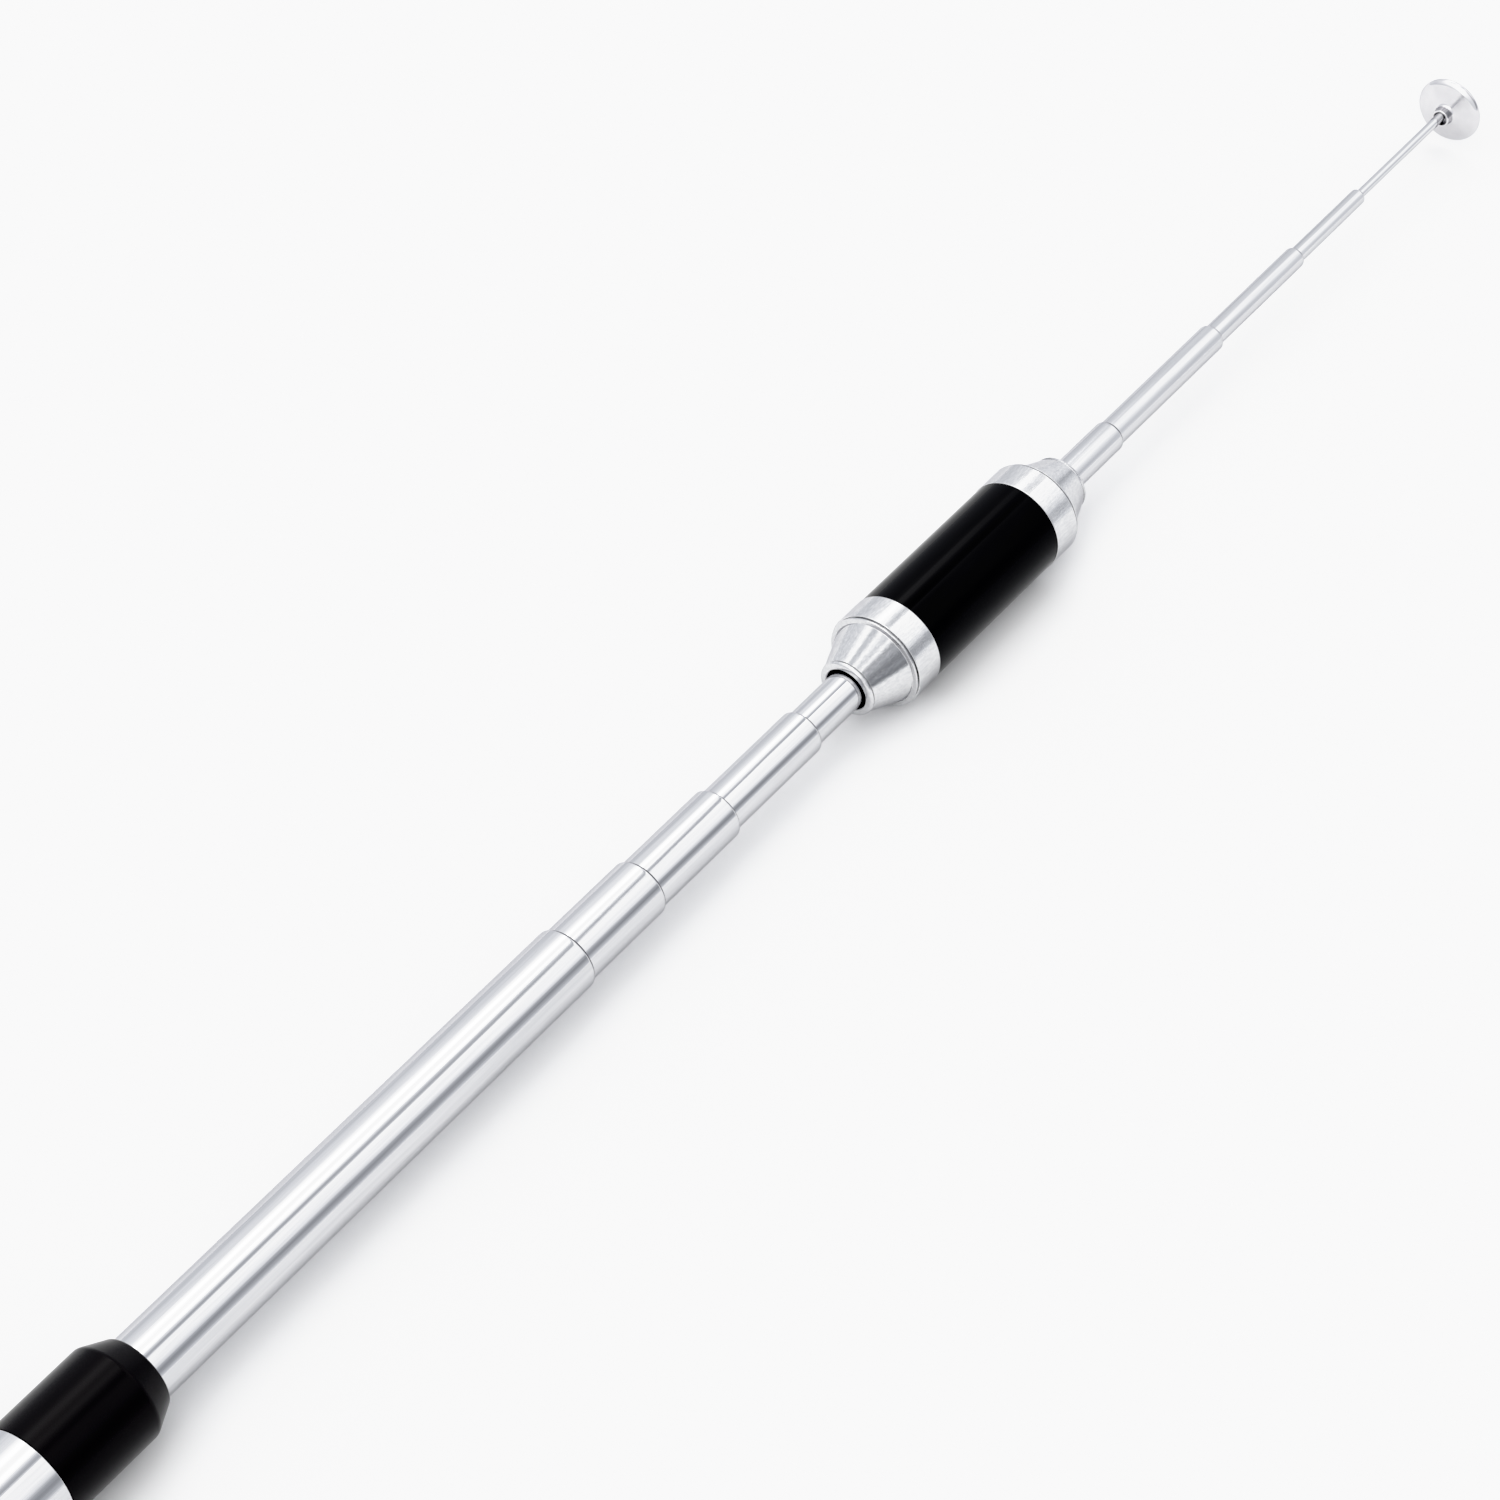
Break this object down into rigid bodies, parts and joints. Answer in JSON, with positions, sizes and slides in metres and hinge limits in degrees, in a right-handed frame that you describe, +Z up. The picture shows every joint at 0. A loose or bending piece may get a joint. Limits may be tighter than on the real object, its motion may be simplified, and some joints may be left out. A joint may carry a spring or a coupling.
{
  "type": "telescopic magnetic pickup tool",
  "caption": "Telescopic magnetic pickup tool: tube handle, black collar, nesting bright tubes through a black barrel grip with turned end caps, thin rod and a round magnet head.",
  "frame": {"origin": "centre of the tail cap's end face", "axes": "+X along the tool's axis from the tail to the magnet, +Z up"},
  "size_m": [0.4239, 0.0152, 0.0152],
  "materials": {
    "polished_chrome": "polished, drawn lengthwise",
    "turned_aluminium": "bright turned",
    "black_collar": "satin",
    "black_sleeve": "satin gloss",
    "black_nylon": "matte",
    "white_nylon": "natural",
    "liner_brass": "rolled sheet",
    "pin_steel": "ground",
    "cup_plate": "satin nickel plate",
    "magnet_plate": "nickel plate"
  },
  "bodies": {
    "handle": {"handle_tube": "polished_chrome", "tail_cap": "black_collar", "front_collar": "black_collar", "mast_bush": "turned_aluminium", "mast_plug": "liner_brass", "mast_pin": "pin_steel", "section_1": "polished_chrome"},
    "liner_2": {"liner_2": "liner_brass"},
    "section_2": {"section_2": "polished_chrome"},
    "liner_3": {"liner_3": "liner_brass"},
    "section_3": {"section_3": "polished_chrome"},
    "liner_4": {"liner_4": "liner_brass"},
    "section_4": {"section_4": "polished_chrome"},
    "liner_5": {"liner_5": "liner_brass"},
    "section_5": {"section_5": "polished_chrome", "near_cap": "turned_aluminium", "far_cap": "turned_aluminium", "barrel_sleeve": "black_sleeve", "barrel_core": "white_nylon", "near_bush": "black_nylon", "far_bush": "black_nylon", "near_stop_ring": "liner_brass", "far_stop_ring": "liner_brass"},
    "liner_6": {"liner_6": "liner_brass"},
    "section_6": {"section_6": "polished_chrome"},
    "liner_7": {"liner_7": "liner_brass"},
    "section_7": {"section_7": "polished_chrome"},
    "liner_8": {"liner_8": "liner_brass"},
    "section_8": {"section_8": "polished_chrome"},
    "liner_9": {"liner_9": "liner_brass"},
    "section_9": {"section_9": "polished_chrome"},
    "liner_rod": {"liner_rod": "liner_brass"},
    "tip_rod": {"tip_rod": "polished_chrome", "rod_collar": "pin_steel"},
    "head": {"head_cup": "cup_plate", "magnet": "magnet_plate"}
  },
  "joints": [
    {"name": "slide_2", "type": "slide", "parent": "handle", "child": "liner_2", "axis": [1, 0, 0], "range_m": [-0.0145, 0.0858]},
    {"name": "twist_2", "type": "hinge", "parent": "liner_2", "child": "section_2", "pos_m": [0.1945, 0, 0], "axis": [1, 0, 0], "continuous": true},
    {"name": "slide_3", "type": "slide", "parent": "section_2", "child": "liner_3", "axis": [1, 0, 0], "range_m": [-0.0158, 0.0845]},
    {"name": "twist_3", "type": "hinge", "parent": "liner_3", "child": "section_3", "pos_m": [0.2102, 0, 0], "axis": [1, 0, 0], "continuous": true},
    {"name": "slide_4", "type": "slide", "parent": "section_3", "child": "liner_4", "axis": [1, 0, 0], "range_m": [-0.0182, 0.0821]},
    {"name": "twist_4", "type": "hinge", "parent": "liner_4", "child": "section_4", "pos_m": [0.2272, 0, 0], "axis": [1, 0, 0], "continuous": true},
    {"name": "slide_5", "type": "slide", "parent": "section_4", "child": "liner_5", "axis": [1, 0, 0], "range_m": [-0.0089, 0.0906]},
    {"name": "twist_5", "type": "hinge", "parent": "liner_5", "child": "section_5", "pos_m": [0.2466, 0, 0], "axis": [1, 0, 0], "continuous": true},
    {"name": "slide_6", "type": "slide", "parent": "section_5", "child": "liner_6", "axis": [1, 0, 0], "range_m": [-0.0117, 0.0886]},
    {"name": "twist_6", "type": "hinge", "parent": "liner_6", "child": "section_6", "pos_m": [0.3107, 0, 0], "axis": [1, 0, 0], "continuous": true},
    {"name": "slide_7", "type": "slide", "parent": "section_6", "child": "liner_7", "axis": [1, 0, 0], "range_m": [-0.027, 0.0733]},
    {"name": "twist_7", "type": "hinge", "parent": "liner_7", "child": "section_7", "pos_m": [0.3236, 0, 0], "axis": [1, 0, 0], "continuous": true},
    {"name": "slide_8", "type": "slide", "parent": "section_7", "child": "liner_8", "axis": [1, 0, 0], "range_m": [-0.0229, 0.0774]},
    {"name": "twist_8", "type": "hinge", "parent": "liner_8", "child": "section_8", "pos_m": [0.3518, 0, 0], "axis": [1, 0, 0], "continuous": true},
    {"name": "slide_9", "type": "slide", "parent": "section_8", "child": "liner_9", "axis": [1, 0, 0], "range_m": [-0.0178, 0.0825]},
    {"name": "twist_9", "type": "hinge", "parent": "liner_9", "child": "section_9", "pos_m": [0.3759, 0, 0], "axis": [1, 0, 0], "continuous": true},
    {"name": "slide_rod", "type": "slide", "parent": "section_9", "child": "liner_rod", "axis": [1, 0, 0], "range_m": [-0.0241, 0.0758]},
    {"name": "twist_rod", "type": "hinge", "parent": "liner_rod", "child": "tip_rod", "pos_m": [0.3949, 0, 0], "axis": [1, 0, 0], "continuous": true},
    {"name": "head_spin", "type": "hinge", "parent": "tip_rod", "child": "head", "pos_m": [0.4202, 0, -0.00038], "axis": [1, 0, 0], "continuous": true}
  ]
}
